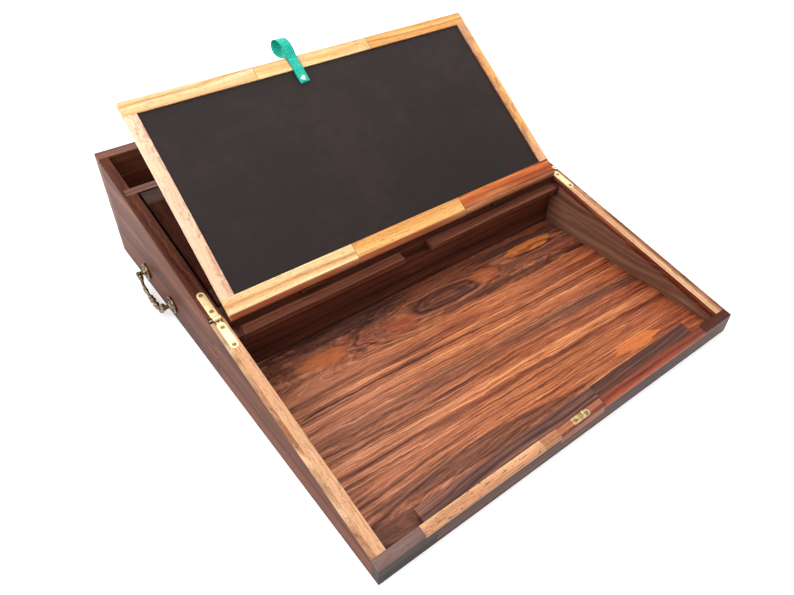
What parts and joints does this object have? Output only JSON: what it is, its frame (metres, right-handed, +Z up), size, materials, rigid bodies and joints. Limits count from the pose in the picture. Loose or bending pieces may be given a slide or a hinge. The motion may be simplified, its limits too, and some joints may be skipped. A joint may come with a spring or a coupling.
{
  "type": "folding lap desk",
  "caption": "Folding wedge-shaped writing box opened flat: leather flaps over trays, pen and ink compartment, lock and an end drawer with a drop handle.",
  "frame": {"origin": "on the table under the middle of the base's underside, the base being the rear half of the opened box", "axes": "+X to the writer's right, +Y away from the writer along the slope's plan, +Z up"},
  "size_m": [0.4112, 0.45, 0.2008],
  "materials": {
    "carcase_wood": "waxed rosewood, dark brown with a greyish bloom outside",
    "rim_wood": "light strips along the rims, orange tan, waxed",
    "dark_rim_wood": "red-brown figured strips, waxed",
    "tray_wood": "orange-red rosewood with dark stripes, waxed",
    "inner_wood": "plain red-brown inner boards",
    "flap_wood": "flap frame of pale and orange-brown figured wood",
    "flap_dark_wood": "flap frame of dark red-brown figured wood",
    "core_wood": "plain panel, hidden under leather",
    "leather": "near-black worn leather, satin",
    "bright_brass": "bright pale brass",
    "old_brass": "dark antique brass, worn bright on the high spots",
    "ribbon": "turquoise silk ribbon",
    "steel": "plain steel pin"
  },
  "bodies": {
    "base": {"base_bottom_board": "inner_wood", "base_back_board": "carcase_wood", "base_left_side": "carcase_wood", "base_right_side": "carcase_wood", "base_front_board": "dark_rim_wood", "drawer_shelf": "inner_wood", "drawer_guide": "inner_wood", "base_side_lippings": "dark_rim_wood", "compartment_divider": "dark_rim_wood", "well_partitions": "inner_wood", "pen_tray": "inner_wood", "base_flap_ledges": "inner_wood", "lock_case": "bright_brass", "escutcheon": "old_brass", "lock_screws": "bright_brass", "base_hinge_leaves": "bright_brass", "base_hinge_pins": "steel", "base_hinge_screws": "bright_brass", "base_flap_hinge_leaves": "bright_brass"},
    "lock_bolt": {"lock_bolt": "steel"},
    "rear_flap": {"rear_flap_hinge_rail": "dark_rim_wood", "rear_flap_free_rail": "dark_rim_wood", "rear_flap_stiles": "dark_rim_wood", "rear_flap_panel": "core_wood", "rear_flap_leather": "leather", "rear_flap_hinge_leaves": "bright_brass"},
    "drawer": {"drawer_front": "carcase_wood", "drawer_near_side": "inner_wood", "drawer_far_side": "inner_wood", "drawer_back": "inner_wood", "drawer_bottom": "inner_wood", "handle_posts": "old_brass"},
    "bail": {"handle_bail": "old_brass"},
    "lid": {"lid_bottom_board": "tray_wood", "lid_front_board": "carcase_wood", "lid_left_side": "carcase_wood", "lid_right_side": "carcase_wood", "lid_mid_board": "dark_rim_wood", "lid_side_lippings": "rim_wood", "lid_front_lippings": "rim_wood", "striker_block": "rim_wood", "striker_plate": "bright_brass", "striker_screws": "bright_brass", "lid_flap_ledges": "inner_wood", "lid_front_ledge": "inner_wood", "lid_hinge_leaves": "bright_brass", "lid_hinge_screws": "bright_brass", "lid_flap_hinge_leaves": "bright_brass"},
    "flap_pins": {"flap_hinge_pins": "steel"},
    "front_flap": {"flap_hinge_rail": "flap_dark_wood", "flap_free_rail": "flap_wood", "flap_stiles": "flap_wood", "flap_panel": "core_wood", "flap_leather": "leather", "flap_lining": "leather", "ribbon_pull": "ribbon", "ribbon_tack": "bright_brass", "flap_hinge_leaves": "bright_brass"}
  },
  "joints": [
    {"name": "fold", "type": "hinge", "parent": "base", "child": "lid", "pos_m": [0, -0.1125, 0.06625], "axis": [-1, 0, 0], "range_deg": [0, 180]},
    {"name": "flap_follow", "type": "hinge", "parent": "lid", "child": "flap_pins", "pos_m": [0, -0.12238, 0.06422], "axis": [-1, 0, 0], "range_deg": [-156.5, 0]},
    {"name": "flap_lift", "type": "hinge", "parent": "flap_pins", "child": "front_flap", "pos_m": [0, -0.12238, 0.06422], "axis": [-1, 0, 0], "range_deg": [-156.5, 0], "deforming": ["ribbon_pull"]},
    {"name": "rear_flap_lift", "type": "hinge", "parent": "base", "child": "rear_flap", "pos_m": [0, -0.10262, 0.06828], "axis": [-1, 0, 0], "range_deg": [-24, 0]},
    {"name": "drawer_slide", "type": "slide", "parent": "base", "child": "drawer", "axis": [-1, 0, 0], "range_m": [0, 0.24]},
    {"name": "handle_swing", "type": "hinge", "parent": "drawer", "child": "bail", "pos_m": [-0.2087, 0.00925, 0.0185], "axis": [0, 1, 0], "range_deg": [-15, 150]},
    {"name": "bolt_throw", "type": "slide", "parent": "base", "child": "lock_bolt", "axis": [1, 0, 0], "range_m": [0, 0.0042]}
  ],
  "couplings": [
    {"joint": "flap_follow", "follows": "fold", "ratio": -0.86944}
  ]
}
